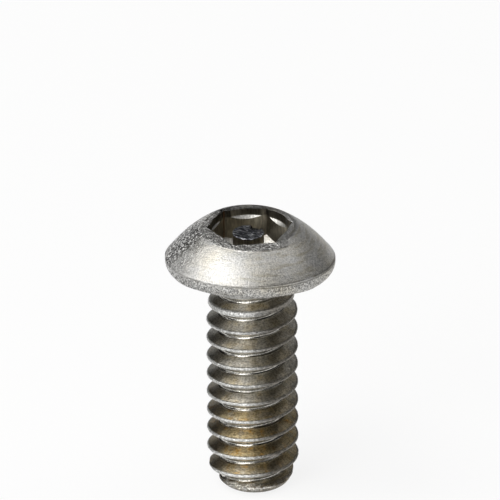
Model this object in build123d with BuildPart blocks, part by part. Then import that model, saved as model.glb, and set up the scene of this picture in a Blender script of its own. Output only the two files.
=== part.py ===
"""Button head screw with a pinned hexagon socket, 10-24 by 1/2 inch.

One piece of stainless steel, cold formed: a low domed head with a hexagon socket, a pin that
stands on the socket's conical floor, and a right-hand thread over the whole shank.

Millimetres.  Z is the screw's axis and points out of the head.  The origin is the centre of
the bearing face, which is the underside of the head.
"""

import os
from math import ceil, cos, radians, tan

from build123d import *

# Head
head_diameter = 9.08
head_height = 2.31
side_height = 0.46  # upright band between the bearing face and the dome
dome_radius = 7.3  # arc from the band up to the crown
crown_width = 0.21  # flat ring between the dome and the corners of the socket
crown_fillet = 0.5  # where the dome turns over to the crown
rim_fillet = 0.3  # lower edge of the band
neck_fillet = 0.2  # where the bearing face meets the shank

# Socket
socket_across_flats = 3.97
socket_depth = 1.61  # from the crown to the corners of the floor
socket_turn = 7.0  # degrees from +X to the nearest corner
floor_angle = 120.0  # the floor's cone, from side to side
lead_in_relief = 0.175  # the round mouth is this much wider than the flats, on each side
lead_in_depth = 0.45  # its upright wall, above the cone that closes it
lead_in_angle = 98.0  # that cone, from side to side
pin_diameter = 1.68
pin_recess = 0.38  # from the crown down to the pin's top
pin_fillet = 0.06

# Shank and thread
shank_length = 12.7
thread_diameter = 4.826
thread_pitch = 25.4 / 24
thread_angle = 60.0
crest_width = thread_pitch / 8
root_radius = 0.144 * thread_pitch
run_out_start = 1.085  # below the bearing face, where the groove starts to rise
run_out_angle = 52.0  # how steeply it rises, from the axis
first_crest_diameter = 4.56  # the turn beside the head is not quite full
first_crest_length = 1.8  # from the bearing face
fill_length = 0.9  # from the first crest down to the full thread
point_diameter = 3.5
point_angle = 29.0  # taper of the last turn, from the axis
point_fillet = 0.15

head_radius = head_diameter / 2
corner_radius = socket_across_flats / 2 / cos(radians(30))
crown_radius = corner_radius + crown_width
lead_in_radius = socket_across_flats / 2 + lead_in_relief
lead_in_end = head_height - lead_in_depth
lead_in_apex = lead_in_end - lead_in_radius / tan(radians(lead_in_angle / 2))
floor_edge = head_height - socket_depth
floor_apex = floor_edge - corner_radius / tan(radians(floor_angle / 2))
thread_radius = thread_diameter / 2
first_crest_radius = first_crest_diameter / 2
point_radius = point_diameter / 2

# The groove's section is a V as wide as the gap between two crests, with a round apex.
flank_slope = tan(radians(thread_angle / 2))
half_gap = (thread_pitch - crest_width) / 2
apex_radius = thread_radius - half_gap / flank_slope
overlap = 0.07  # the cutter's flanks run this far past the crests
cutter_radius = thread_radius + overlap
cutter_half_width = half_gap + overlap * flank_slope
groove_turns = ceil((shank_length - run_out_start) / thread_pitch) + 1

# The trimmed outline leaves the crests alone between these two heights.
point_top = (cutter_radius - point_radius) / tan(radians(point_angle)) - shank_length
fill_share = (cutter_radius - first_crest_radius) / (thread_radius - first_crest_radius)
fill_bottom = -first_crest_length - fill_share * fill_length

# One turn of the groove, from +X once around the axis.
with BuildPart() as groove_turn:
    with BuildLine() as turn_path:
        Helix(thread_pitch, thread_pitch, apex_radius)
    with BuildSketch(Plane.XZ) as groove_section:
        with BuildLine():
            Polyline(
                (apex_radius, 0),
                (cutter_radius, cutter_half_width),
                (cutter_radius, -cutter_half_width),
                close=True,
            )
        make_face()
        fillet(groove_section.vertices().sort_by(Axis.X)[0], root_radius)
    sweep(path=turn_path.line, is_frenet=True)

# Half a turn of the same groove, on which it rises out of the shank.
with BuildPart() as groove_end:
    with BuildLine() as end_path:
        Helix(thread_pitch, thread_pitch / 2, apex_radius, cone_angle=run_out_angle)
    add(groove_section.sketch)
    sweep(path=end_path.line, is_frenet=True)

# The socket's void: a hexagonal prism that ends in a cone.
with BuildPart() as socket_void:
    with BuildSketch(Plane.XY.offset(head_height)):
        RegularPolygon(corner_radius, 6, rotation=socket_turn)
    extrude(amount=floor_apex - head_height)
    with BuildSketch(Plane.XZ):
        with BuildLine():
            Polyline(
                (0, head_height),
                (corner_radius, head_height),
                (corner_radius, floor_edge),
                (0, floor_apex),
                close=True,
            )
        make_face()
    revolve(axis=Axis.Z, mode=Mode.INTERSECT)

with BuildPart() as screw:
    # A plain rod, with the groove cut turn by turn from its run-out to past the point.
    with BuildSketch(Plane.XY.offset(-shank_length)):
        Circle(thread_radius)
    extrude(amount=shank_length + side_height)
    with Locations((0, 0, -run_out_start)):
        add(groove_end.part, mode=Mode.SUBTRACT)
    for turn in range(1, groove_turns + 1):
        with Locations((0, 0, -run_out_start - turn * thread_pitch)):
            add(groove_turn.part, mode=Mode.SUBTRACT)

    # The outline trims the crests at the point and beside the head.
    with BuildSketch(Plane.XZ) as outline:
        with BuildLine():
            Polyline(
                (0, -shank_length),
                (point_radius, -shank_length),
                (cutter_radius, point_top),
                (cutter_radius, fill_bottom),
                (first_crest_radius, -first_crest_length),
                (first_crest_radius, side_height),
                (0, side_height),
                close=True,
            )
        make_face()
        point_corner = outline.vertices().sort_by_distance((point_radius, -shank_length))[0]
        fillet(point_corner, point_fillet)
    revolve(axis=Axis.Z, mode=Mode.INTERSECT)

    # Head: bearing face, band, dome and crown.
    with BuildSketch(Plane.XZ) as head_section:
        with BuildLine():
            Polyline((0, head_height), (0, 0), (head_radius, 0), (head_radius, side_height))
            RadiusArc((head_radius, side_height), (crown_radius, head_height), -dome_radius)
            Line((crown_radius, head_height), (0, head_height))
        make_face()
        rim_corner = head_section.vertices().sort_by_distance((head_radius, 0))[0]
        fillet(rim_corner, rim_fillet)
        crown_corner = head_section.vertices().sort_by_distance((crown_radius, head_height))[0]
        fillet(crown_corner, crown_fillet)
    revolve(axis=Axis.Z)
    bearing_edges = screw.edges().filter_by(GeomType.CIRCLE).filter_by_position(Axis.Z, 0, 0)
    fillet(bearing_edges.sort_by(SortBy.RADIUS)[0], neck_fillet)

    # Socket: the hexagon, its round lead-in, and the pin that stands on its floor.
    add(socket_void.part, mode=Mode.SUBTRACT)
    with BuildSketch(Plane.XZ):
        with BuildLine():
            Polyline(
                (0, head_height),
                (lead_in_radius, head_height),
                (lead_in_radius, lead_in_end),
                (0, lead_in_apex),
                close=True,
            )
        make_face()
    revolve(axis=Axis.Z, mode=Mode.SUBTRACT)
    with BuildSketch(Plane.XY.offset(floor_apex)):
        Circle(pin_diameter / 2)
    extrude(amount=head_height - pin_recess - floor_apex)
    pin_edges = screw.edges(Select.LAST).filter_by(GeomType.CIRCLE)
    fillet(pin_edges.sort_by(Axis.Z)[-1], pin_fillet)

screw.part.label = "button_head_screw"
os.makedirs("parts", exist_ok=True)
export_step(screw.part, "parts/button_head_screw.step")
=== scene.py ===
import math

import bpy
import numpy as np
from mathutils import Matrix, Vector, noise


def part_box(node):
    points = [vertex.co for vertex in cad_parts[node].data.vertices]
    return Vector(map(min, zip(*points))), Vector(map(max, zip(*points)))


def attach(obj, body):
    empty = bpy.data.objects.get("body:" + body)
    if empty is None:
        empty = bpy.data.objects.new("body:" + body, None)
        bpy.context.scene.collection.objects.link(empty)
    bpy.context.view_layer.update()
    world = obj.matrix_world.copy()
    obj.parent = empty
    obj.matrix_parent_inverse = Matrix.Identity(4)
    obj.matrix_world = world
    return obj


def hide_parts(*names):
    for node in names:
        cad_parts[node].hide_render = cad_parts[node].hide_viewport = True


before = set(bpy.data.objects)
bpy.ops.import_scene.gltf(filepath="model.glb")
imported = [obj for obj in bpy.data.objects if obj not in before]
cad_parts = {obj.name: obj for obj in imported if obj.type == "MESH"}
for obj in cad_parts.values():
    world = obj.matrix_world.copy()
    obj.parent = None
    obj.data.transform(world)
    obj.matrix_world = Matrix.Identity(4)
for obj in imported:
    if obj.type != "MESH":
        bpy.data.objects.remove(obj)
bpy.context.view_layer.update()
print("frame loaded")

mm = 0.001
nodeName = "button_head_screw"
low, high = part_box(nodeName)
headTop = high.z / mm
pointEnd = low.z / mm


def linearColor(hexText):
    # sRGB hex to the linear values that shaders take
    shares = [int(hexText[k : k + 2], 16) / 255 for k in (1, 3, 5)]
    return [s / 12.92 if s <= 0.04045 else ((s + 0.055) / 1.055) ** 2.4 for s in shares] + [1.0]


def addNode(tree, kind, inputs=None, out=0, **settings):
    # one node with its settings; an input is a value or another node's output; gives back one output
    node = tree.nodes.new(kind)
    for name, value in settings.items():
        setattr(node, name, value)
    for name, value in (inputs or {}).items():
        if isinstance(value, bpy.types.NodeSocket):
            tree.links.new(value, node.inputs[name])
        else:
            node.inputs[name].default_value = value
    return node.outputs if out is None else node.outputs[out]


def newMaterial(name):
    material = bpy.data.materials.new(name)
    material.use_nodes = True
    material.node_tree.nodes.clear()
    return material, material.node_tree


# sizes in millimetres, angles in degrees, and angles around the screw counted from +X
screw = {
    "headRadius": high.x / mm,
    "domeRadius": 7.3,
    "crownWidth": 0.21,
    "crownFillet": 0.5,
    "rimFillet": 0.3,
    "neckFillet": 0.2,
    "acrossFlats": 3.97,
    "socketTurn": 7.2,
    "leadInRadius": 2.065,
    "leadInDepth": 0.45,
    "leadInSlope": 41.0,
    "floorCorner": 0.70,  # height of the floor's cone at the corners
    "floorSlope": 30.0,
    "pinRadius": 0.84,
    "pinTop": headTop - 0.38,
    "pinFillet": 0.05,
    "threadRadius": 2.43,
    "pitch": 25.4 / 24,
    "crestShare": 0.09,  # of the pitch
    "crestRound": 0.007,
    "trimRound": 0.006,  # where the first turn and the point cut the crests
    "rootRadius": 0.14,
    "runOutStart": 1.085,
    "runOutAngle": 52.0,
    "firstCrestRadius": 2.27,
    "firstCrestEnd": 1.8,
    "fillEnd": 2.7,  # from here the turns are full
    "pointRadius": 1.62,
    "pointAngle": 34.0,
    "pointFillet": 1.0,
    "columns": 240,  # of the mesh, around the screw
}

# what cold heading and thread rolling leave behind on one real screw
forming = {
    "headTilt": 0.73,  # left side up
    "headNod": 0.92,  # front edge down
    "headShift": -0.065,
    "bandMean": 0.45,  # height of the upright band, where the die halves met
    "bandSwing": 0.41,
    "bandTurn": 266.0,  # where it is highest
    "rimRub": 0.36,  # how much rounder its rim is there
    "rubFade": (0.6, 0.92),
    "seamWidth": 0.06,
    "seamDepth": 0.045,
    "mouthOffset": 0.10,  # the round lead-in is off the hexagon's centre
    "mouthTurn": 75.0,
    "mouthRound": 0.03,
    "mouthFlare": 0.14,  # its far edge is rolled outwards
    "flareTurn": 85.0,
    "mouthDent": 0.08,
    "dentTurn": 307.0,
    "dentWidth": 6.0,
    "chipDepth": 0.015,
    "crownRise": 0.013,
    "crownSaddle": 0.07,  # the crown stands higher at both sides
    "saddleTurn": 10.0,
    "crownLean": 0.03,
    "leanTurn": 50.0,
    "crownRough": 0.012,
    "crownGrain": (0.2, 0.09),  # size of its coarse and fine grain
    "burrHeight": 0.05,
    "burrAt": (1.55, -1.98),
    "burrSize": (0.06, 0.13),
    "scuffTurn": 258.0,  # the scuffed side of the crown
    "scuffFade": (0.2, 0.65),  # where along the swing it sets in and is full
    "crownSeam": 2.75,  # radius of the line where the punch's rim bit the dome
    "crownSeamDepth": 0.014,
    "pinOffset": 0.085,  # the pin stands a little to the left
    "pinRough": 0.03,
    "pinGrain": (0.35, 0.12),
    "biteDepth": 0.13,  # of the piece torn out of its far edge
    "biteAt": (0.30, 0.58),
    "biteRadius": 0.31,
    "biteEdge": 0.05,
    "crestRough": 0.012,
    "crestGrain": (0.16, 0.07),
    "pointOffset": 0.40,
    "pointTurn": 286.7,  # the point leans this way
    "pointOffsetFrom": -10.9,
    "pointOffsetOver": 1.7,
}

pitch = screw["pitch"]
columns = screw["columns"]
theta = math.radians(screw["socketTurn"]) + 2 * math.pi / columns * np.arange(columns)
cornerRadius = screw["acrossFlats"] / 2 / math.cos(math.radians(30))
flankSlope = math.tan(math.radians(30))
apexRadius = screw["threadRadius"] - pitch * (1 - screw["crestShare"]) / 2 / flankSlope


def swing(angle, degrees):
    # 1 towards a compass angle around the screw, -1 away from it
    return np.cos(angle - math.radians(degrees))


def smoothStep(value, start, end):
    # 0 up to the start, 1 from the end on, easing in and out
    share = np.clip((value - start) / (end - start), 0, 1)
    return share * share * (3 - 2 * share)


def softMin(a, b, width):
    # the smaller of two, with the corner between them rounded over the given width
    return -width * np.logaddexp(-a / width, -b / width)


def grain(x, y, z, size, seed):
    # smooth noise of the given feature size at each point; each seed reads it somewhere else
    points = np.stack(np.broadcast_arrays(x, y, z), -1).reshape(-1, 3) / size + seed * 17.3
    values = np.array([noise.noise(p) for p in points])
    return values.reshape(np.broadcast(x, y, z).shape)


def hexRadius(angle):
    inSector = np.mod(angle - math.radians(screw["socketTurn"]), math.pi / 3) - math.pi / 6
    return screw["acrossFlats"] / 2 / np.cos(inSector)


def grooveRadius(offset, lift=0.0):
    # a V with a round apex, by distance from the groove's centre line
    root = screw["rootRadius"]
    away = np.abs(offset)
    centre = apexRadius + root / math.sin(math.radians(30))
    curved = centre - np.sqrt(np.maximum(root**2 - np.minimum(away, root) ** 2, 0))
    straight = apexRadius + away / flankSlope
    return np.where(away < root * math.cos(math.radians(30)), curved, straight) + lift


def pointOutline(angle, z):
    # taper and rounded edge of the last turn, which sits a little off the axis
    lean = math.radians(screw["pointAngle"])
    fillet = screw["pointFillet"]
    reach = fillet * math.tan((math.pi / 2 - lean) / 2)
    taper = screw["pointRadius"] + (z - pointEnd) * math.tan(lean)
    rise = np.clip((pointEnd + fillet - z) / fillet, -1, 1)
    rounded = screw["pointRadius"] - reach + fillet * np.sqrt(1 - rise**2)
    outline = np.where(z < pointEnd + reach * math.cos(lean), rounded, taper)
    along = np.clip((forming["pointOffsetFrom"] - z) / forming["pointOffsetOver"], 0, 1.2)
    return outline + forming["pointOffset"] * along * swing(angle, forming["pointTurn"])


def shankRadius(angle, z):
    climb = pitch * np.mod(angle, 2 * math.pi) / (2 * math.pi)
    start = climb - screw["runOutStart"]
    turn = np.maximum(np.round((start - z) / pitch), 1)
    radius = softMin(grooveRadius(z - start + turn * pitch), screw["threadRadius"], screw["crestRound"])
    runOut = grooveRadius(z - start, climb * math.tan(math.radians(screw["runOutAngle"])))
    radius = np.minimum(radius, runOut)
    first = screw["firstCrestRadius"]
    fill = np.clip((-z - screw["firstCrestEnd"]) / (screw["fillEnd"] - screw["firstCrestEnd"]), 0, 1)
    # past the last turn that isn't full, this bound clears the crests
    bound = first + fill * (screw["threadRadius"] - first + 0.02)
    radius = softMin(radius, bound, screw["trimRound"])
    radius = softMin(radius, pointOutline(angle, z), screw["trimRound"])
    # crests come off the rolling dies a little torn
    crest = np.clip((radius - screw["threadRadius"] + 0.2) / 0.15, 0, 1)
    x, y = radius * np.cos(angle), radius * np.sin(angle)
    coarse, fine = forming["crestGrain"]
    torn = grain(x, y, z, coarse, 1) + 0.6 * grain(x, y, z, fine, 2)
    return radius + forming["crestRough"] * crest * torn


verts, faces, faceSlots = [], [], []
headSlot, socketSlot, pinSlot, threadSlot, bandSlot = 0, 1, 2, 3, 4


def addRing(radius, z):
    radius, z = np.broadcast_to(radius, (columns,)), np.broadcast_to(z, (columns,))
    first = len(verts)
    verts.extend(zip(radius * np.cos(theta), radius * np.sin(theta), z))
    return first


def joinRings(upper, lower, slot):
    for i in range(columns):
        k = (i + 1) % columns
        faces.append((upper + i, lower + i, lower + k, upper + k))
        faceSlots.append(slot)


rings = []  # radius, height and the slot of the band up to the ring before


def ring(radius, z, slot):
    rings.append((radius, z, slot))


def floorHeight(radius):
    return screw["floorCorner"] - (cornerRadius - radius) * math.tan(math.radians(screw["floorSlope"]))


# the pin's top was sheared off, which left it rough, with a bite out of its far edge
pinRadius, pinTop, pinFillet = screw["pinRadius"], screw["pinTop"], screw["pinFillet"]


def pinHeight(radius):
    x, y = radius * np.cos(theta), radius * np.sin(theta)
    coarse, fine = forming["pinGrain"]
    rough = grain(x * 0.8 + y * 0.6, (y * 0.8 - x * 0.6) * 2.2, 0, coarse, 3)
    rough = rough + 0.5 * grain(x, y, 0, fine, 4)
    biteX, biteY = forming["biteAt"]
    inside = forming["biteRadius"] - np.hypot(x - biteX, (y - biteY) * 0.95)
    bite = np.clip(inside / forming["biteEdge"], 0, 1)
    return pinTop + forming["pinRough"] * rough - forming["biteDepth"] * bite


pinR = np.sqrt(pinRadius**2 - (forming["pinOffset"] * np.sin(theta)) ** 2)
pinR = pinR - forming["pinOffset"] * np.cos(theta)
for share in np.linspace(0.05, 1, 20):
    radius = share * (pinR - pinFillet)
    ring(radius, pinHeight(radius), pinSlot)
edgeDrop = pinHeight(pinR) - pinTop
for a in np.radians([30, 60, 90]):
    radius = pinR - pinFillet + pinFillet * math.sin(a)
    ring(radius, pinTop - pinFillet + pinFillet * math.cos(a) + edgeDrop, pinSlot)
pinFoot = floorHeight(pinR)
for share in np.linspace(0, 1, 9)[1:]:
    z = pinTop - pinFillet + share * (pinFoot - pinTop + pinFillet) + (1 - share) * edgeDrop
    ring(pinR, z, socketSlot)

# the floor's cone, the hexagon's walls, the ledges and the round lead-in
hexR = hexRadius(theta)
mouthAside = forming["mouthOffset"] * swing(theta, forming["mouthTurn"] + 90)
leadR = np.sqrt(screw["leadInRadius"] ** 2 - mouthAside**2)
leadR = leadR + forming["mouthOffset"] * swing(theta, forming["mouthTurn"])
leadZ = headTop - screw["leadInDepth"]
ledgeZ = leadZ - np.maximum(leadR - hexR, 0) * math.tan(math.radians(screw["leadInSlope"]))
mouthR = np.maximum(hexR, leadR)
rolledOut = np.maximum(swing(theta, forming["flareTurn"]), 0)
dent = np.exp(-(((np.degrees(theta) - forming["dentTurn"]) / forming["dentWidth"]) ** 2))
flare = forming["mouthRound"] + forming["mouthFlare"] * rolledOut + forming["mouthDent"] * dent
mouthTop = mouthR + flare
crownZ = headTop + forming["crownRise"] + forming["crownLean"] * swing(theta, forming["leanTurn"])
crownZ = crownZ + forming["crownSaddle"] * swing(2 * theta, forming["saddleTurn"])
for share in np.linspace(0, 1, 9)[1:]:
    radius = pinR + share * (hexR - pinR)
    ring(radius, floorHeight(radius), socketSlot)
wallFoot = floorHeight(hexR)
for share in np.linspace(0, 1, 11)[1:]:
    ring(hexR, wallFoot + share * (ledgeZ - wallFoot), socketSlot)
mouthLow, mouthHigh = leadZ + 0.002, crownZ - 0.04
for share in np.linspace(0, 1, 6):
    ring(mouthR, mouthLow + share * (mouthHigh - mouthLow), socketSlot)
ring(mouthR + 0.4 * flare, crownZ - 0.025, headSlot)

# the dome's arc runs from the band's top to the crown, so it changes around the head
headR = screw["headRadius"]
crownR = cornerRadius + screw["crownWidth"]
bandTop = forming["bandMean"] + forming["bandSwing"] * swing(theta, forming["bandTurn"])
bandTop = np.maximum(bandTop, screw["rimFillet"] + 0.01)
chordR, chordZ = crownR - headR, headTop - bandTop
chord = np.hypot(chordR, chordZ)
sagitta = np.sqrt(screw["domeRadius"] ** 2 - chord**2 / 4)
domeR = (crownR + headR) / 2 - sagitta * chordZ / chord
domeZ = (headTop + bandTop) / 2 + sagitta * chordR / chord
fillet = screw["crownFillet"]
filletZ = headTop - fillet
filletR = domeR + np.sqrt((screw["domeRadius"] - fillet) ** 2 - (filletZ - domeZ) ** 2)
filletEnd = domeR + (filletR - domeR) * screw["domeRadius"] / (screw["domeRadius"] - fillet)


def domeHeight(radius):
    arc = domeZ + np.sqrt(screw["domeRadius"] ** 2 - (radius - domeR) ** 2)
    turned = filletZ + np.sqrt(np.maximum(fillet**2 - np.maximum(radius - filletR, 0) ** 2, 0))
    return np.where(radius < filletEnd, turned, arc)


# in front the punch's rim bit a line into the dome, and inside it the crown is scuffed
front = smoothStep(swing(theta, forming["scuffTurn"]), *forming["scuffFade"])
innerR = mouthTop + 0.02
seamR = np.maximum(innerR + 0.05, filletR + front * (forming["crownSeam"] - filletR))
seamIn, seamOut = seamR - 0.015, seamR + 0.012  # the line is the step between these two rings
seamZ = domeHeight(seamR) - forming["crownSeamDepth"] * front


def crownHeight(radius):
    x, y = radius * np.cos(theta), radius * np.sin(theta)
    coarse, fine = forming["crownGrain"]
    rough = grain(x, y, 0, coarse, 5) + 0.7 * grain(x, y, 0, fine, 6)
    (burrX, burrY), (burrWidth, burrLength) = forming["burrAt"], forming["burrSize"]
    burr = np.exp(-(((x - burrX) / burrWidth) ** 2) - ((y - burrY) / burrLength) ** 2)
    outwards = (radius - mouthTop) / (seamR - mouthTop)
    surface = crownZ + (seamZ - crownZ) * outwards**1.5 + forming["burrHeight"] * burr
    return surface + forming["crownRough"] * rough * (0.3 + 0.7 * front)


# small chips along the mouth's edge
chip = np.maximum(grain(np.cos(theta) * 2.2, np.sin(theta) * 2.2, 0, 0.25, 7), 0) * forming["chipDepth"]
ring(mouthTop + chip, crownZ - 0.006 - chip, headSlot)
innerR = innerR + chip
for share in (0, 0.12, 0.25, 0.4, 0.55, 0.7, 0.85, 1):
    radius = innerR + share * (seamIn - innerR)
    ring(radius, crownHeight(radius), headSlot)
for share in np.linspace(0, 1, 42)[:-1]:
    radius = seamOut + share**1.1 * (headR - seamOut)
    ring(radius, domeHeight(radius), headSlot)
seamHalf = forming["seamWidth"] / 2
for inset, z in ((0.0, bandTop + seamHalf), (forming["seamDepth"], bandTop), (0.0, bandTop - seamHalf)):
    ring(headR - inset, z, headSlot)
# in front the rim is rubbed rounder
rub = smoothStep(swing(theta, forming["bandTurn"]), *forming["rubFade"])
rim = screw["rimFillet"] + forming["rimRub"] * rub
bandLow = bandTop - seamHalf
for share in np.linspace(0, 1, 7)[1:]:
    ring(headR, bandLow + share * (np.minimum(rim, bandLow - 0.003) - bandLow), bandSlot)
for a in np.linspace(0, math.pi / 2, 9)[1:]:
    ring(headR - rim + rim * math.cos(a), rim - rim * math.sin(a), bandSlot)
neck = screw["neckFillet"]
shankTop = screw["firstCrestRadius"]
for share in np.linspace(0, 1, 9)[1:]:
    ring(headR - rim + share * (shankTop + neck - headR + rim), 0.0, headSlot)
for a in np.linspace(0, math.pi / 2, 6)[1:]:
    ring(shankTop + neck - neck * math.sin(a), -neck + neck * math.cos(a), threadSlot)

ringStarts = [addRing(r, z) for r, z, slot in rings]
for upper, lower, (_, _, slot) in zip(ringStarts, ringStarts[1:], rings[1:]):
    joinRings(upper, lower, slot)
middle = len(verts)
verts.append((0, 0, float(np.mean(pinHeight(0.0)))))
for i in range(columns):
    faces.append((middle, ringStarts[0] + i, ringStarts[0] + (i + 1) % columns))
    faceSlots.append(pinSlot)
topRing = ringStarts[-1]
headCount = len(verts)
print("head rings", len(rings))

# the shank's rows follow the helix, so that each crest and root keeps its own row; their places
# between a root and the next crest are shares of the pitch
rowShares = [0.045, 0.09, 0.132, 0.215, 0.30, 0.385, 0.447, 0.4755]
rowOffsets = pitch * np.array([-s for s in reversed(rowShares)] + [0] + rowShares + [0.5])
perTurn = len(rowOffsets)
turns = int((neck - pointEnd) / pitch) + 4
offsets = -(np.repeat(np.arange(-2, turns), perTurn) * pitch + np.tile(rowOffsets, turns + 2))
wide = np.append(theta, theta[0] + 2 * math.pi)
endZone = screw["pointFillet"] * 0.6  # height of the flat rings below the helical rows
zTop, zLow = -neck, pointEnd + endZone
rowZ = pitch * wide[None, :] / (2 * math.pi) - screw["runOutStart"] + offsets[:, None]
near = 0.012  # rows closer than this to a ring join it
lowRing = addRing(shankRadius(theta, np.full(columns, zLow)), zLow)
index = np.full(rowZ.shape, -1, int)
index[rowZ > zTop - near] = -2
index[rowZ < zLow + near] = -3
rowOf, columnOf = np.nonzero(index[:, :columns] == -1)
z = rowZ[rowOf, columnOf]
radius = shankRadius(theta[columnOf], z)
index[rowOf, columnOf] = len(verts) + np.arange(len(z))
verts.extend(zip(radius * np.cos(theta[columnOf]), radius * np.sin(theta[columnOf]), z))
for i in range(columns):
    index[index[:, i] == -2, i] = topRing + i
    index[index[:, i] == -3, i] = lowRing + i
# a full turn later the last column meets the first, one pitch further up
index[perTurn:, columns] = index[:-perTurn, 0]
index[:perTurn, columns] = topRing
for j in range(rowZ.shape[0] - 1):
    for i in range(columns):
        corners = [index[j, i], index[j + 1, i], index[j + 1, i + 1], index[j, i + 1]]
        unique = [int(c) for n, c in enumerate(corners) if c != corners[n - 1]]
        if len(unique) > 2:
            faces.append(tuple(unique))
            faceSlots.append(threadSlot)

# the rounded end and the flat face that the screw stands on
lowRings = [lowRing]
for share in (0.8, 0.62, 0.46, 0.32, 0.2, 0.1, 0.03, 0):
    z = pointEnd + endZone * share
    lowRings.append(addRing(shankRadius(theta, np.full(columns, z)), z))
endR = shankRadius(theta, np.full(columns, pointEnd))
for share in (0.97, 0.9, 0.75, 0.5, 0.25, 0.1):
    lowRings.append(addRing(endR * share, pointEnd))
for upper, lower in zip(lowRings, lowRings[1:]):
    joinRings(upper, lower, threadSlot)
tip = len(verts)
verts.append((0, 0, pointEnd))
for i in range(columns):
    faces.append((lowRings[-1] + i, tip, lowRings[-1] + (i + 1) % columns))
    faceSlots.append(threadSlot)

# the head sits a little askew on the shank; the neck takes up the difference
points = np.array(verts)
weight = np.zeros(len(points))
weight[:headCount] = np.clip(points[:headCount, 2] / neck + 1, 0, 1)
tilt, nod = math.radians(forming["headTilt"]), math.radians(forming["headNod"])
y1 = points[:, 1] * math.cos(nod) - points[:, 2] * math.sin(nod)
z1 = points[:, 1] * math.sin(nod) + points[:, 2] * math.cos(nod)
x2 = points[:, 0] * math.cos(tilt) - z1 * math.sin(tilt) + forming["headShift"]
z2 = -points[:, 0] * math.sin(tilt) + z1 * math.cos(tilt)
moved = np.stack([x2, y1, z2], -1)
points = points + weight[:, None] * (moved - points)

mesh = bpy.data.meshes.new("screwSkin")
mesh.from_pydata((points * mm).tolist(), [], faces)
mesh.update()
mesh.polygons.foreach_set("material_index", faceSlots)
mesh.polygons.foreach_set("use_smooth", [True] * len(faces))
mesh.set_sharp_from_angle(angle=math.radians(38))
skin = bpy.data.objects.new("screw_skin", mesh)
bpy.context.scene.collection.objects.link(skin)
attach(skin, "root")
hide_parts(nodeName)
print("mesh", len(verts), "vertices", len(faces), "faces")


def objectMm(tree):
    # object coordinates in millimetres: whole, split, and without the height
    coords = addNode(tree, "ShaderNodeTexCoord", out="Object")
    vector = addNode(tree, "ShaderNodeVectorMath", {0: coords, "Scale": 1 / mm}, operation="SCALE")
    axes = addNode(tree, "ShaderNodeSeparateXYZ", {0: vector}, out=None)
    flat = addNode(tree, "ShaderNodeCombineXYZ", {0: axes["X"], 1: axes["Y"]})
    return vector, axes, flat


def metalSurface(tree, color, roughness, height, bumpMm, **extra):
    # bare metal with the given relief, as the material's surface
    bump = addNode(tree, "ShaderNodeBump", {"Height": height, "Distance": bumpMm * mm})
    body = addNode(tree, "ShaderNodeBsdfPrincipled",
                   {"Base Color": color, "Metallic": 1.0, "Roughness": roughness, "Normal": bump,
                    **extra})
    addNode(tree, "ShaderNodeOutputMaterial", {"Surface": body}, out=None)


# stainless steel, cold headed and then tumbled: satin, with a fine pitted grain that breaks up the
# highlight, and coarse pits on the left, on the band and on the crown, where the stones hit; each pit
# has painted shade inside and a painted highlight on its rim
tumbled = {
    "metal": "#c4c3c0",
    # painted shade inside the dents, also used for the painted shade in the seam and behind the socket
    "paintedShade": "#171614",
    "glint": "#dedddb",  # painted highlight on the raised edges of the dents
    "scuff": "#dcdad5",
    "warm": "#c8c2b3",
    "ringTint": "#a09882",
    "roughness": 0.42,
    "grainMm": 0.1,  # real grain is finer; this still shows
    "fineGrainMm": 0.065,
    "pitMm": 0.135,
    "stainMm": 1.6,
    "bumpMm": 0.03,
    "calm": 0.4,  # share of the bump where few stones hit
    "left": 3.4,  # how much more it is on the left, and on the crown
    "crown": 3.0,
    "leftSide": (-0.94, 0.34, 0.0),  # directions that the marks face
    "crownSide": (-0.6, -0.6, 0.0),
    "ringSide": (0.8, -0.6, 0.0),
    "behindSide": (-0.17, 0.98, 0.0),
    "lowerSide": (-0.12, 0.0, -1.0),
    "crownEdge": (2.85, 2.72),  # radii over which the crown's marks set in
    "socketEdge": (2.75, 2.5),
    "behindShade": 0.6,  # painted shade on the crown behind the socket
    "seamShade": 0.5,  # painted shade in the seam over the band
    "hitAll": 0.02,  # share of the pits where few stones hit
    "pitFrom": 0.435,  # a pit starts where its noise passes this
    "darkSpeck": 0.7,
    "lightSpeck": 1.15,
}
seamRise = forming["bandSwing"] / screw["headRadius"]
seamTurn = math.radians(forming["bandTurn"])
seamPlane = (-seamRise * math.cos(seamTurn), -seamRise * math.sin(seamTurn), 1.0)


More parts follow.
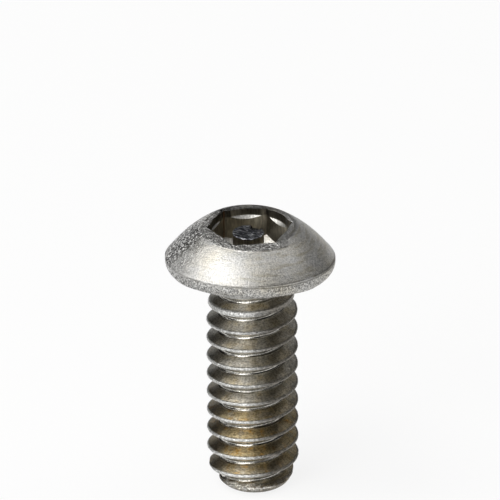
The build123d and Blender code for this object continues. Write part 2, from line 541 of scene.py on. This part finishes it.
def makeTumbled(name, stretch, values):
    material, tree = newMaterial(name)
    vector, axes, flat = objectMm(tree)
    grainVector = addNode(tree, "ShaderNodeVectorMath", {0: vector, 1: stretch}, operation="MULTIPLY")
    grains = []
    for size, distortion in (("grainMm", 0.0), ("fineGrainMm", 0.0), ("pitMm", 0.8)):
        settings = {"Scale": 1 / values[size], "Detail": 1.0, "Distortion": distortion}
        grains.append(addNode(tree, "ShaderNodeTexNoise", {"Vector": grainVector, **settings}))
    coarse, fine, pits = grains
    stain = addNode(tree, "ShaderNodeTexNoise",
                    {"Vector": vector, "Scale": 1 / values["stainMm"], "Detail": 4.0, "Roughness": 0.6})
    radius = addNode(tree, "ShaderNodeVectorMath", {0: flat}, out=1, operation="LENGTH")
    outward = addNode(tree, "ShaderNodeVectorMath", {0: flat}, operation="NORMALIZE")
    sides = []
    for place, side in ((outward, "leftSide"), (outward, "ringSide"), (outward, "behindSide"),
                        (vector, "crownSide"), (vector, "lowerSide")):
        sides.append(addNode(tree, "ShaderNodeVectorMath", {0: place, 1: values[side]}, out=1,
                             operation="DOT_PRODUCT"))
    toLeft, toRight, toBack, toFront, toLower = sides
    # where the stones hit: most on the left, some on the crown
    left = addNode(tree, "ShaderNodeMath", {0: stain, 1: 0.8, 2: toLeft}, operation="MULTIPLY_ADD")
    left = addNode(tree, "ShaderNodeMapRange",
                   {"Value": left, "From Min": 0.92, "From Max": 1.35, "To Max": 0.92},
                   interpolation_type="SMOOTHSTEP")
    fades = []
    for measure, (start, end) in ((radius, values["crownEdge"]), (radius, values["socketEdge"]),
                                  (toFront, (-0.2, 0.5))):
        fades.append(addNode(tree, "ShaderNodeMapRange",
                             {"Value": measure, "From Min": start, "From Max": end},
                             interpolation_type="SMOOTHSTEP"))
    crown, inner, toFront = fades
    crown = addNode(tree, "ShaderNodeMath", {0: crown, 1: toFront}, operation="MULTIPLY")
    amount = addNode(tree, "ShaderNodeMath", {0: left, 1: values["left"], 2: values["calm"]},
                     operation="MULTIPLY_ADD")
    amount = addNode(tree, "ShaderNodeMath", {0: crown, 1: values["crown"], 2: amount},
                     operation="MULTIPLY_ADD")
    hit = addNode(tree, "ShaderNodeMix", {"Factor": crown, 2: left, 3: 0.6})
    # the stones caught the band's lower edge, above all on the left
    toLower = addNode(tree, "ShaderNodeMapRange", {"Value": toLower, "From Min": -0.3, "From Max": 0.25,
                                                   "To Min": 0.3, "To Max": 2.4})
    hitAll = addNode(tree, "ShaderNodeMath", {0: toLower, 1: values["hitAll"]}, operation="MULTIPLY")
    hit = addNode(tree, "ShaderNodeMath", {0: hit, 1: hitAll}, operation="MAXIMUM")
    pitFrom = values["pitFrom"]
    pitShare = addNode(tree, "ShaderNodeMapRange",
                       {"Value": pits, "From Min": pitFrom, "From Max": pitFrom + 0.07})
    # each dent gets painted shade inside and a painted highlight on its rim
    glint, paintedShade = linearColor(values["glint"]), linearColor(values["paintedShade"])
    dented = addNode(tree, "ShaderNodeMix", {"Factor": pitShare, 6: glint, 7: paintedShade},
                     out=2, data_type="RGBA")
    pitShare = addNode(tree, "ShaderNodeMath", {0: pitShare, 1: hit}, operation="MULTIPLY")
    # faint rings, as the die was turned
    turned = addNode(tree, "ShaderNodeMath", {0: radius, 1: 8.0}, operation="MULTIPLY")
    turned = addNode(tree, "ShaderNodeCombineXYZ", {0: axes["X"], 1: axes["Y"], 2: turned})
    turned = addNode(tree, "ShaderNodeTexNoise", {"Vector": turned, "Scale": 0.9, "Detail": 2.0})
    # colour: warm stains, scuffed crown, brownish rings, light and dark grain, and pits with painted
    # shade inside and a painted highlight on their rims
    warmShare = addNode(tree, "ShaderNodeMapRange",
                        {"Value": stain, "From Min": 0.45, "From Max": 0.7, "To Max": 0.6})
    ringShare = addNode(tree, "ShaderNodeMapRange",
                        {"Value": turned, "From Min": 0.5, "From Max": 0.68, "To Max": 0.55})
    toRight = addNode(tree, "ShaderNodeMapRange",
                      {"Value": toRight, "From Min": -0.2, "From Max": 0.8, "To Min": 0.15})
    ringShare = addNode(tree, "ShaderNodeMath", {0: ringShare, 1: toRight}, operation="MULTIPLY")
    color = linearColor(values["metal"])
    for share, tint in ((warmShare, "warm"), (crown, "scuff"), (ringShare, "ringTint")):
        tint = linearColor(values[tint])
        color = addNode(tree, "ShaderNodeMix", {"Factor": share, 6: color, 7: tint},
                        out=2, data_type="RGBA")
    speck = addNode(tree, "ShaderNodeMath", {0: coarse, 1: fine}, operation="ADD")
    tone = addNode(tree, "ShaderNodeMapRange",
                   {"Value": speck, "From Min": 0.8, "From Max": 1.2,
                    "To Min": values["darkSpeck"], "To Max": values["lightSpeck"]})
    color = addNode(tree, "ShaderNodeMix", {"Factor": 1.0, 6: color, 7: tone}, out=2,
                    data_type="RGBA", blend_type="MULTIPLY")
    color = addNode(tree, "ShaderNodeMix", {"Factor": hit, 6: color, 7: dented},
                    out=2, data_type="RGBA")
    # painted shade in the seam between band and dome, which swings up and down around the head, broken
    # up by the stain noise
    crease = addNode(tree, "ShaderNodeVectorMath", {0: vector, 1: seamPlane}, out=1,
                     operation="DOT_PRODUCT")
    crease = addNode(tree, "ShaderNodeMath", {0: crease, 1: forming["bandMean"]}, operation="SUBTRACT")
    crease = addNode(tree, "ShaderNodeMath", {0: crease}, operation="ABSOLUTE")
    crease = addNode(tree, "ShaderNodeMapRange", {"Value": crease, "From Min": 0.04, "From Max": 0.015})
    kept = addNode(tree, "ShaderNodeMapRange", {"Value": stain, "From Min": 0.38, "From Max": 0.55,
                                                "To Max": values["seamShade"]})
    crease = addNode(tree, "ShaderNodeMath", {0: crease, 1: kept}, operation="MULTIPLY")
    # and painted shade on the crown behind the socket
    behind = addNode(tree, "ShaderNodeMapRange", {"Value": toBack, "From Min": 0.6, "From Max": 0.9,
                                                  "To Max": values["behindShade"]})
    behind = addNode(tree, "ShaderNodeMath", {0: inner, 1: behind}, operation="MULTIPLY")
    for share in (crease, behind):
        color = addNode(tree, "ShaderNodeMix", {"Factor": share, 6: color, 7: paintedShade},
                        out=2, data_type="RGBA")
    rough = addNode(tree, "ShaderNodeMapRange",
                    {"Value": coarse, "From Min": 0.35, "From Max": 0.65,
                     "To Min": values["roughness"] - 0.06, "To Max": values["roughness"] + 0.08})
    # each dent of a stone is smooth inside
    rough = addNode(tree, "ShaderNodeMath", {0: hit, 1: -0.14, 2: rough}, operation="MULTIPLY_ADD")
    height = addNode(tree, "ShaderNodeMath", {0: turned, 1: 0.5, 2: speck}, operation="MULTIPLY_ADD")
    height = addNode(tree, "ShaderNodeMath", {0: height, 1: amount}, operation="MULTIPLY")
    height = addNode(tree, "ShaderNodeMath", {0: pitShare, 1: -1.2, 2: height}, operation="MULTIPLY_ADD")
    metalSurface(tree, color, rough, height, values["bumpMm"])
    return material


headMaterial = makeTumbled("tumbledStainless", (1.0, 1.0, 1.0), tumbled)
# stainless steel that rubbed in the die, which left the band's grain coarser all round
rubbed = {
    **tumbled,
    "pitMm": 0.11,
    "roughness": 0.45,
    "calm": 1.5,
    "left": 2.0,
    "hitAll": 0.35,
    "darkSpeck": 0.3,
    "lightSpeck": 1.45,
}
bandMaterial = makeTumbled("dieRubbedStainless", (1.3, 1.3, 0.9), rubbed)

# stainless steel, punched: smooth walls with upright drag lines, dark because light barely gets in
punched = {
    "wall": "#b3ad9f",
    "litShoulder": "#c2c0ba",  # what faces up was pressed flat, and is painted lighter as light from above falls on it
    "shade": 0.72,
    "mouthDarkening": 0.33,  # the round mouth is painted darker
    "darkeningFrom": 1.85,
    "rust": "#8c6c54",
    "rustAt": (-1.47, 1.80, 0.0),  # one corner of the hexagon
    "rustWidth": 0.06,
    "roughness": 0.3,
    "dragMm": 0.09,
    "bumpMm": 0.012,
}
socketMaterial, tree = newMaterial("punchedStainless")
vector, axes, flat = objectMm(tree)
drawn = addNode(tree, "ShaderNodeVectorMath", {0: vector, 1: (1.0, 1.0, 0.2)}, operation="MULTIPLY")
drag = addNode(tree, "ShaderNodeTexNoise",
               {"Vector": drawn, "Scale": 1 / punched["dragMm"], "Detail": 2.0})
tone = addNode(tree, "ShaderNodeMapRange",
               {"Value": drag, "From Min": 0.38, "From Max": 0.62,
                "To Min": punched["shade"], "To Max": 1.05})
# the walls are painted darker from this height up
darkeningFrom = punched["darkeningFrom"]
mouthDarkening = addNode(tree, "ShaderNodeMapRange",
               {"Value": axes["Z"], "From Min": darkeningFrom, "From Max": darkeningFrom + 0.12,
                "To Min": 1.0, "To Max": punched["mouthDarkening"]})
tone = addNode(tree, "ShaderNodeMath", {0: tone, 1: mouthDarkening}, operation="MULTIPLY")
# painted light: faces that look up are painted lighter
facing = addNode(tree, "ShaderNodeNewGeometry", out="Normal")
facing = addNode(tree, "ShaderNodeSeparateXYZ", {0: facing}, out="Z")
facing = addNode(tree, "ShaderNodeMapRange", {"Value": facing, "From Min": 0.3, "From Max": 0.6})
wall, litShoulder = linearColor(punched["wall"]), linearColor(punched["litShoulder"])
color = addNode(tree, "ShaderNodeMix", {"Factor": facing, 6: wall, 7: litShoulder},
                out=2, data_type="RGBA")
color = addNode(tree, "ShaderNodeMix", {"Factor": 1.0, 6: color, 7: tone}, out=2,
                data_type="RGBA", blend_type="MULTIPLY")
rust = addNode(tree, "ShaderNodeVectorMath", {0: flat, 1: punched["rustAt"]}, out=1,
               operation="DISTANCE")
rust = addNode(tree, "ShaderNodeMapRange",
               {"Value": rust, "From Min": punched["rustWidth"], "From Max": 0.3 * punched["rustWidth"]})
color = addNode(tree, "ShaderNodeMix", {"Factor": rust, 6: color, 7: linearColor(punched["rust"])},
                out=2, data_type="RGBA")
metalSurface(tree, color, punched["roughness"], drag, punched["bumpMm"])

# stainless steel, sheared: torn and dark, with slanting tear lines painted lighter as a highlight
sheared = {
    "dark": "#54565c",
    # painted highlight on the tear lines
    "light": "#d2d4d8",
    # painted shade for the bite
    "biteShade": "#1c1c1d",
    "biteShadeAt": (0.28, 0.6, 0.0),  # painted shade over the bite torn out of the far edge
    "roughness": 0.36,
    "tearMm": 0.19,
    "bumpMm": 0.05,
}
pinMaterial, tree = newMaterial("shearedStainless")
vector, axes, flat = objectMm(tree)
turned = addNode(tree, "ShaderNodeVectorRotate",
                 {"Vector": vector, "Axis": (0, 0, 1), "Angle": math.radians(35)})
turned = addNode(tree, "ShaderNodeVectorMath", {0: turned, 1: (0.45, 1.6, 1.0)}, operation="MULTIPLY")
tear = addNode(tree, "ShaderNodeTexNoise",
               {"Vector": turned, "Scale": 1 / sheared["tearMm"], "Detail": 3.0, "Roughness": 0.65})
# the tear lines get their painted highlight
share = addNode(tree, "ShaderNodeMapRange",
                {"Value": tear, "From Min": 0.47, "From Max": 0.6, "To Max": 0.9})
color = addNode(tree, "ShaderNodeMix",
                {"Factor": share, 6: linearColor(sheared["dark"]), 7: linearColor(sheared["light"])},
                out=2, data_type="RGBA")
# painted shade over the bite in the far edge
bite = addNode(tree, "ShaderNodeVectorMath", {0: flat, 1: sheared["biteShadeAt"]}, out=1,
               operation="DISTANCE")
bite = addNode(tree, "ShaderNodeMapRange",
               {"Value": bite, "From Min": 0.42, "From Max": 0.3, "To Max": 0.9})
color = addNode(tree, "ShaderNodeMix", {"Factor": bite, 6: color, 7: linearColor(sheared["biteShade"])},
                out=2, data_type="RGBA")
metalSurface(tree, color, sheared["roughness"], tear, sheared["bumpMm"])

# stainless steel, thread rolled: burnished root, flanks with a golden oil tint in blotches drawn out
# across the thread, and dull torn crests
rolled = {
    "flank": "#bebbb3",
    "golden": "#ab9c7a",
    "amber": "#b48a3e",
    "brown": "#807663",
    "crest": "#c6c6c3",
    "crestShade": "#7b766d",  # painted shade on the crests on the right
    "sideShade": "#645f54",  # painted shade on the flanks, to the left and right of the front
    "root": "#c8c6bf",
    # painted shade in the folds along the root
    "foldShade": "#55514a",
    "cut": "#f4f1ea",  # painted highlight along the ragged edge where the point was cut off, on its front
    "cutAt": 0.47,  # above the end of the point
    "blotMm": 0.3,  # the stains on the point
    "flankRoughness": 0.36,
    "flankLines": 0.92,  # how far the lines of rolling stretch the flank's highlight
    "crestRoughness": 0.42,
    "rootRoughness": 0.18,
    "crestFrom": 2.31,  # radii over which the crest and the root set in
    "crestTo": 2.38,
    "rootFrom": 1.88,
    "rootTo": 1.78,
    "sideShadeAxis": (-0.07, -0.41, 0.0),  # directions, divided by the thread's radius
    "crestShadeSide": (0.359, -0.207, 0.0),
    "sideShadeShare": 0.7,
    "streakMm": 0.085,
    "patchMm": 0.9,
    "dropMm": 0.4,
    "goldenAt": -9.6,  # the turns with the deepest tint
    "goldenReach": 3.2,
    "tornMm": 0.09,
    "lapMm": 0.07,
    "lapLengthMm": 1.6,
    "grainMm": 0.075,
    "bumpMm": 0.024,
}
threadMaterial, tree = newMaterial("rolledStainless")
vector, axes, flat = objectMm(tree)
radius = addNode(tree, "ShaderNodeVectorMath", {0: flat}, out=1, operation="LENGTH")
# rolling drags the metal across the flank, so streaks hardly change with the radius
unit = addNode(tree, "ShaderNodeVectorMath", {0: flat}, operation="NORMALIZE")
unit = addNode(tree, "ShaderNodeVectorMath", {0: unit, "Scale": screw["threadRadius"]},
               operation="SCALE")
along = addNode(tree, "ShaderNodeMath", {0: axes["Z"], 1: 0.3}, operation="MULTIPLY")
along = addNode(tree, "ShaderNodeCombineXYZ", {2: along})
streaks = addNode(tree, "ShaderNodeVectorMath", {0: unit, 1: along}, operation="ADD")
streaks = addNode(tree, "ShaderNodeTexNoise",
                  {"Vector": streaks, "Scale": 1 / rolled["streakMm"], "Detail": 2.0})
noises = []
for size, detail, roughness in (("patchMm", 4.0, 0.6), ("tornMm", 1.0, 0.5), ("dropMm", 2.0, 0.5),
                                ("blotMm", 3.0, 0.65)):
    settings = {"Scale": 1 / rolled[size], "Detail": detail, "Roughness": roughness}
    noises.append(addNode(tree, "ShaderNodeTexNoise", {"Vector": vector, **settings}))
patches, torn, drops, blots = noises
# the grain is drawn out around the thread
slope = addNode(tree, "ShaderNodeMath", {0: axes["Z"], 1: -0.7, 2: radius}, operation="MULTIPLY_ADD")
around = addNode(tree, "ShaderNodeVectorMath", {0: unit, "Scale": 0.55}, operation="SCALE")
grainVector = addNode(tree, "ShaderNodeCombineXYZ", {2: slope})
grainVector = addNode(tree, "ShaderNodeVectorMath", {0: grainVector, 1: around}, operation="ADD")
grains = addNode(tree, "ShaderNodeTexNoise",
                 {"Vector": grainVector, "Scale": 1 / rolled["grainMm"], "Detail": 1.0})
# place across the groove in pitches, 0.5 at its centre line
turned = addNode(tree, "ShaderNodeMath", {0: axes["Y"], 1: axes["X"]}, operation="ARCTAN2")
turned = addNode(tree, "ShaderNodeMath", {0: turned, 1: 2 * math.pi}, operation="DIVIDE")
across = addNode(tree, "ShaderNodeMath",
                 {0: axes["Z"], 1: 1 / pitch, 2: screw["runOutStart"] / pitch + 0.5},
                 operation="MULTIPLY_ADD")
across = addNode(tree, "ShaderNodeMath", {0: across, 1: turned}, operation="SUBTRACT")
across = addNode(tree, "ShaderNodeMath", {0: across, 1: 1.0, 2: 0.0}, operation="WRAP")
deepest = addNode(tree, "ShaderNodeMath", {0: axes["Z"], 1: rolled["goldenAt"]}, operation="SUBTRACT")
deepest = addNode(tree, "ShaderNodeMath", {0: deepest}, operation="ABSOLUTE")
deepest = addNode(tree, "ShaderNodeMapRange",
                  {"Value": deepest, "From Min": rolled["goldenReach"], "From Max": 0.5, "To Max": 0.3},
                  interpolation_type="SMOOTHSTEP")
golden = addNode(tree, "ShaderNodeMath", {0: patches, 1: deepest}, operation="ADD")
golden = addNode(tree, "ShaderNodeMapRange", {"Value": golden, "From Min": 0.4, "From Max": 0.75})
brown = addNode(tree, "ShaderNodeMapRange",
                {"Value": patches, "From Min": 0.45, "From Max": 0.3, "To Max": 0.6})
# painted shade, left of the front, and right of it as far as the crests
toFront = addNode(tree, "ShaderNodeVectorMath", {0: unit, 1: rolled["sideShadeAxis"]}, out=1,
                  operation="DOT_PRODUCT")
toFront = addNode(tree, "ShaderNodeMath", {0: patches, 1: 0.25, 2: toFront}, operation="MULTIPLY_ADD")
sideShade = addNode(tree, "ShaderNodeMapRange", {"Value": toFront, "From Min": 1.05, "From Max": 0.86},
               interpolation_type="SMOOTHSTEP")
fadeBack = addNode(tree, "ShaderNodeMapRange", {"Value": toFront, "From Min": 0.3, "From Max": 0.6},
                   interpolation_type="SMOOTHSTEP")
sideShade = addNode(tree, "ShaderNodeMath", {0: sideShade, 1: fadeBack}, operation="MULTIPLY")
sideShade = addNode(tree, "ShaderNodeMath", {0: sideShade, 1: rolled["sideShadeShare"]}, operation="MULTIPLY")
# painted shade on the crests right of the front
toRight = addNode(tree, "ShaderNodeVectorMath", {0: unit, 1: rolled["crestShadeSide"]}, out=1,
                  operation="DOT_PRODUCT")
crestShade = addNode(tree, "ShaderNodeMapRange",
                    {"Value": toRight, "From Min": 0.45, "From Max": 0.85, "To Max": 0.9})
dull, shadedCrest = linearColor(rolled["crest"]), linearColor(rolled["crestShade"])
crestColor = addNode(tree, "ShaderNodeMix", {"Factor": crestShade, 6: dull, 7: shadedCrest},
                     out=2, data_type="RGBA")
# the first turn and the point are slimmer, so their edges count as crests from a smaller radius
slimNeck = addNode(tree, "ShaderNodeMapRange",
                   {"Value": axes["Z"],
                    "From Min": -screw["fillEnd"], "From Max": -screw["firstCrestEnd"],
                    "To Max": screw["threadRadius"] - screw["firstCrestRadius"]})
slimPoint = addNode(tree, "ShaderNodeMapRange",
                    {"Value": axes["Z"], "From Min": pointEnd + 0.85, "From Max": pointEnd + 0.35,
                     "To Max": screw["threadRadius"] - screw["pointRadius"]})
edge = addNode(tree, "ShaderNodeMath", {0: radius, 1: slimNeck}, operation="ADD")
edge = addNode(tree, "ShaderNodeMath", {0: edge, 1: slimPoint}, operation="ADD")
isCrest = addNode(tree, "ShaderNodeMapRange",
                  {"Value": edge, "From Min": rolled["crestFrom"], "From Max": rolled["crestTo"]},
                  interpolation_type="SMOOTHSTEP")
isRoot = addNode(tree, "ShaderNodeMapRange",
                 {"Value": radius, "From Min": rolled["rootFrom"], "From Max": rolled["rootTo"]},
                 interpolation_type="SMOOTHSTEP")
# a few amber drops of old oil where the tint is deepest
drops = addNode(tree, "ShaderNodeMapRange", {"Value": drops, "From Min": 0.55, "From Max": 0.68})
drops = addNode(tree, "ShaderNodeMath", {0: drops, 1: deepest}, operation="MULTIPLY")
drops = addNode(tree, "ShaderNodeMath", {0: drops, 1: 2.4}, operation="MULTIPLY", use_clamp=True)
# laps that run along the root, where the metal folded, with painted shade in each fold
laps = addNode(tree, "ShaderNodeMath", {0: across, 1: pitch / rolled["lapMm"]}, operation="MULTIPLY")
laps = addNode(tree, "ShaderNodeCombineXYZ", {2: laps})
lapLength = addNode(tree, "ShaderNodeVectorMath", {0: vector, "Scale": 1 / rolled["lapLengthMm"]},
                    operation="SCALE")
laps = addNode(tree, "ShaderNodeVectorMath", {0: laps, 1: lapLength}, operation="ADD")
laps = addNode(tree, "ShaderNodeTexNoise", {"Vector": laps, "Scale": 1.0, "Detail": 1.0})
folds = addNode(tree, "ShaderNodeMapRange", {"Value": laps, "From Min": 0.52, "From Max": 0.6})
burnished, shadedFold = linearColor(rolled["root"]), linearColor(rolled["foldShade"])
rootColor = addNode(tree, "ShaderNodeMix", {"Factor": folds, 6: burnished, 7: shadedFold},
                    out=2, data_type="RGBA")
# the point is stained in patches, with a painted highlight along the ragged edge where it was cut off,
# on its front, and painted shade below it
aboveEnd = addNode(tree, "ShaderNodeMath", {0: axes["Z"], 1: pointEnd}, operation="SUBTRACT")
stained = addNode(tree, "ShaderNodeMapRange", {"Value": aboveEnd, "From Min": 0.8, "From Max": 0.5})
blotShare = addNode(tree, "ShaderNodeMapRange",
                    {"Value": blots, "From Min": 0.4, "From Max": 0.58, "To Max": 0.9})
stained = addNode(tree, "ShaderNodeMath", {0: stained, 1: blotShare}, operation="MULTIPLY")
ragged = addNode(tree, "ShaderNodeMath", {0: blots, 1: 0.5, 2: aboveEnd}, operation="MULTIPLY_ADD")
cut = addNode(tree, "ShaderNodeMath", {0: ragged, 1: rolled["cutAt"] + 0.25}, operation="SUBTRACT")
cut = addNode(tree, "ShaderNodeMath", {0: cut}, operation="ABSOLUTE")
cut = addNode(tree, "ShaderNodeMapRange", {"Value": cut, "From Min": 0.07, "From Max": 0.02})
cutFront = addNode(tree, "ShaderNodeMapRange", {"Value": toFront, "From Min": 0.85, "From Max": 1.05})
cut = addNode(tree, "ShaderNodeMath", {0: cut, 1: cutFront}, operation="MULTIPLY")
# painted shade on the point below the ragged edge
below = addNode(tree, "ShaderNodeMapRange",
                {"Value": ragged, "From Min": rolled["cutAt"] + 0.13, "From Max": rolled["cutAt"],
                 "To Max": 0.85}, interpolation_type="SMOOTHSTEP")
# colour, from the flank's metal up
color = linearColor(rolled["flank"])
brownTint, shadeTint = linearColor(rolled["brown"]), linearColor(rolled["sideShade"])
for share, tint in (
    (golden, linearColor(rolled["golden"])),
    (brown, brownTint),
    (drops, linearColor(rolled["amber"])),
    (sideShade, shadeTint),
    (isCrest, crestColor),
    (isRoot, rootColor),
    (stained, brownTint),
    (cut, linearColor(rolled["cut"])),
    (below, shadeTint),
):
    color = addNode(tree, "ShaderNodeMix", {"Factor": share, 6: color, 7: tint},
                    out=2, data_type="RGBA")
tone = addNode(tree, "ShaderNodeMath", {0: streaks, 1: 0.5, 2: grains}, operation="MULTIPLY_ADD")
tone = addNode(tree, "ShaderNodeMapRange",
               {"Value": tone, "From Min": 0.62, "From Max": 0.88, "To Min": 0.62, "To Max": 1.2})
color = addNode(tree, "ShaderNodeMix", {"Factor": 1.0, 6: color, 7: tone}, out=2,
                data_type="RGBA", blend_type="MULTIPLY")
rough = addNode(tree, "ShaderNodeMix",
                {"Factor": isCrest, 2: rolled["flankRoughness"], 3: rolled["crestRoughness"]})
rough = addNode(tree, "ShaderNodeMix", {"Factor": isRoot, 2: rough, 3: rolled["rootRoughness"]})
# fine lines run around the flanks, so their highlight is drawn out towards the axis
flankLines = addNode(tree, "ShaderNodeMix", {"Factor": isCrest, 2: rolled["flankLines"], 3: 0.0})
flankLines = addNode(tree, "ShaderNodeMix", {"Factor": isRoot, 2: flankLines, 3: 0.0})
inward = addNode(tree, "ShaderNodeVectorMath", {0: (0.0, 0.0, screw["threadRadius"]), 1: unit},
                 operation="SUBTRACT")
smooth = addNode(tree, "ShaderNodeMath", {0: 1.0, 1: isRoot}, operation="SUBTRACT")
height = addNode(tree, "ShaderNodeMath", {0: torn, 1: isCrest}, operation="MULTIPLY")
height = addNode(tree, "ShaderNodeMath", {0: height, 1: 2.0, 2: grains}, operation="MULTIPLY_ADD")
height = addNode(tree, "ShaderNodeMath", {0: height, 1: smooth}, operation="MULTIPLY")
laps = addNode(tree, "ShaderNodeMath", {0: laps, 1: isRoot}, operation="MULTIPLY")
height = addNode(tree, "ShaderNodeMath", {0: laps, 1: 1.2, 2: height}, operation="MULTIPLY_ADD")
metalSurface(tree, color, rough, height, rolled["bumpMm"], Anisotropic=flankLines, Tangent=inward)

for material in (headMaterial, socketMaterial, pinMaterial, threadMaterial, bandMaterial):
    mesh.materials.append(material)
print("materials", len(mesh.materials))


# the view: a long lens, so the thread's pitch stays even down the shank
view = {
    "elevation": 26.2,
    "roll": 0.39,
    "pixelsPerMm": 18.79,
    "frameWidth": 500,
    "bearingX": 251.6,  # where the bearing face's centre lies in the frame
    "bearingY": 264.3,
    "distance": 400.0,
}
elevation, roll = math.radians(view["elevation"]), math.radians(view["roll"])
back = Vector((0, -math.cos(elevation), math.sin(elevation)))
rightFlat = Vector((1, 0, 0))
upFlat = Vector((0, math.sin(elevation), math.cos(elevation)))
right = rightFlat * math.cos(roll) - upFlat * math.sin(roll)
up = upFlat * math.cos(roll) + rightFlat * math.sin(roll)
centre = view["frameWidth"] / 2
shiftX = (view["bearingX"] - centre) / view["pixelsPerMm"]
shiftY = (centre - view["bearingY"]) / view["pixelsPerMm"]
target = -(right * shiftX + up * shiftY)
camera = bpy.data.objects.new("camera", bpy.data.cameras.new("camera"))
bpy.context.scene.collection.objects.link(camera)
place = (target + back * view["distance"]) * mm
camera.matrix_world = Matrix.Translation(place) @ Matrix((right, up, back)).transposed().to_4x4()
camera.data.type = "ORTHO"
camera.data.ortho_scale = view["frameWidth"] / view["pixelsPerMm"] * mm
camera.data.clip_start = 0.01
camera.data.clip_end = 20.0
bpy.context.scene.camera = camera

# a wide pale paper sweep; camera and gloss see it white, lamps still shade it
stage = {"halfWidth": 3.0, "paper": "#f9f9f8", "whiteShare": 0.85}
half = stage["halfWidth"]
floorMesh = bpy.data.meshes.new("floor")
floorCorners = [(-half, -half), (half, -half), (half, half), (-half, half)]
floorMesh.from_pydata([(x, y, low.z) for x, y in floorCorners], [], [(0, 1, 2, 3)])
floor = bpy.data.objects.new("floor", floorMesh)
bpy.context.scene.collection.objects.link(floor)
material, tree = newMaterial("paperSweep")
matte = addNode(tree, "ShaderNodeBsdfDiffuse", {"Color": linearColor(stage["paper"])})
glow = addNode(tree, "ShaderNodeEmission", {"Color": (1, 1, 1, 1), "Strength": 1.0})
path = addNode(tree, "ShaderNodeLightPath", out=None)
seen = addNode(tree, "ShaderNodeMath", {0: path["Is Camera Ray"], 1: path["Is Glossy Ray"]},
               operation="MAXIMUM")
seen = addNode(tree, "ShaderNodeMath", {0: seen, 1: path["Is Transmission Ray"]}, operation="MAXIMUM")
share = addNode(tree, "ShaderNodeMath", {0: seen, 1: stage["whiteShare"]}, operation="MULTIPLY")
mix = addNode(tree, "ShaderNodeMixShader", {0: share, 1: matte, 2: glow})
addNode(tree, "ShaderNodeOutputMaterial", {"Surface": mix}, out=None)
floorMesh.materials.append(material)
print("stage")


# a dim room and soft lamps in degrees of sky, most of them high on the left and in front; azimuth is
# counted from the front, positive to the right
light = {
    "room": 0.04,
    "distance": 0.5,
    "lamps": {
        "leftSoftbox": dict(azimuth=-98, elevation=30, width=28, height=28, radiance=1.2),
        "leftHigh": dict(azimuth=-92, elevation=60, width=30, height=26, radiance=3.6),
        "leftBack": dict(azimuth=-124, elevation=48, width=24, height=24, radiance=1.5),
        "frontLeft": dict(azimuth=-70, elevation=42, width=30, height=36, radiance=1.45),
        "frontOverhead": dict(azimuth=-45, elevation=66, width=30, height=30, radiance=2.5),
        "frontHigh": dict(azimuth=-12, elevation=56, width=30, height=28, radiance=0.7),
        "frontSoftbox": dict(azimuth=-38, elevation=32, width=36, height=24, radiance=4.1),
        "frontStrip": dict(azimuth=-32, elevation=9, width=60, height=14, radiance=5.1),
        "overhead": dict(azimuth=60, elevation=80, width=30, height=30, radiance=1.35),
        "rightHigh": dict(azimuth=115, elevation=54, width=30, height=28, radiance=1.5),
        "rightSoftbox": dict(azimuth=88, elevation=38, width=32, height=32, radiance=0.3),
        "backSoftbox": dict(azimuth=150, elevation=18, width=40, height=22, radiance=0.35),
    },
}
world = bpy.data.worlds.new("studio")
bpy.context.scene.world = world
world.use_nodes = True
tree = world.node_tree
tree.nodes.clear()
sky = addNode(tree, "ShaderNodeBackground", {"Color": (1, 1, 1, 1), "Strength": light["room"]})
addNode(tree, "ShaderNodeOutputWorld", {"Surface": sky}, out=None)

for name, lamp in light["lamps"].items():
    data = bpy.data.lights.new(name, "AREA")
    data.shape = "ELLIPSE"
    data.size = 2 * light["distance"] * math.tan(math.radians(lamp["width"] / 2))
    data.size_y = 2 * light["distance"] * math.tan(math.radians(lamp["height"] / 2))
    # the power that gives an ellipse of this size this radiance
    data.energy = lamp["radiance"] * math.pi * math.pi * data.size * data.size_y / 4
    softbox = bpy.data.objects.new(name, data)
    a, e = math.radians(lamp["azimuth"]), math.radians(lamp["elevation"])
    away = Vector((math.sin(a) * math.cos(e), -math.cos(a) * math.cos(e), math.sin(e)))
    softbox.location = away * light["distance"]
    softbox.rotation_mode = "QUATERNION"
    softbox.rotation_quaternion = away.to_track_quat("Z", "Y")
    bpy.context.scene.collection.objects.link(softbox)
print("lamps", len(light["lamps"]))

bpy.context.scene.view_settings.view_transform = "Standard"
